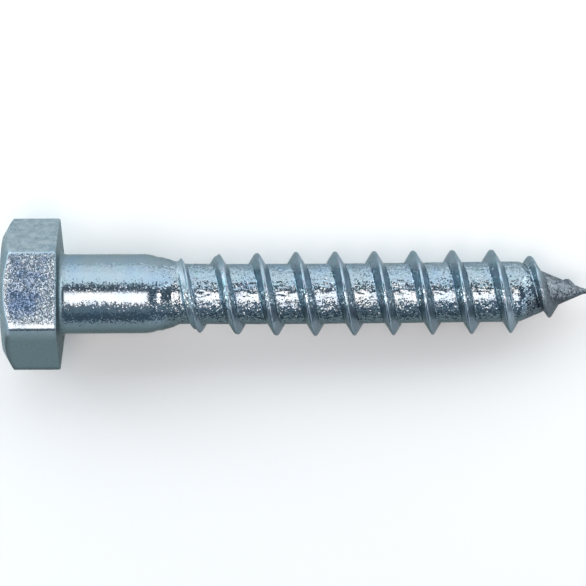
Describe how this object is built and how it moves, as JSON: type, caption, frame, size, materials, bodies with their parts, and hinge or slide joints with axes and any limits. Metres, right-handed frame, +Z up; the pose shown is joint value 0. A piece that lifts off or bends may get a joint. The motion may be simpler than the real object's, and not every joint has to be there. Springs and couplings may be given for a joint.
{
  "type": "lag screw",
  "caption": "Zinc-plated hex-head lag screw with a plain shank under the head and a coarse right-hand wood thread that runs out into a gimlet point.",
  "frame": {"origin": "on the screw's axis at the bearing face under the head", "axes": "+X along the screw towards its point, which dips 3.2 degrees because the screw lies on a flat of its head and on its thread; +Z up"},
  "size_m": [0.0555, 0.0144, 0.0129],
  "materials": {
    "zinc_plated_steel": "satin bright zinc with a bluish passivation"
  },
  "bodies": {
    "root": {"lag_screw": "zinc_plated_steel"}
  },
  "joints": []
}
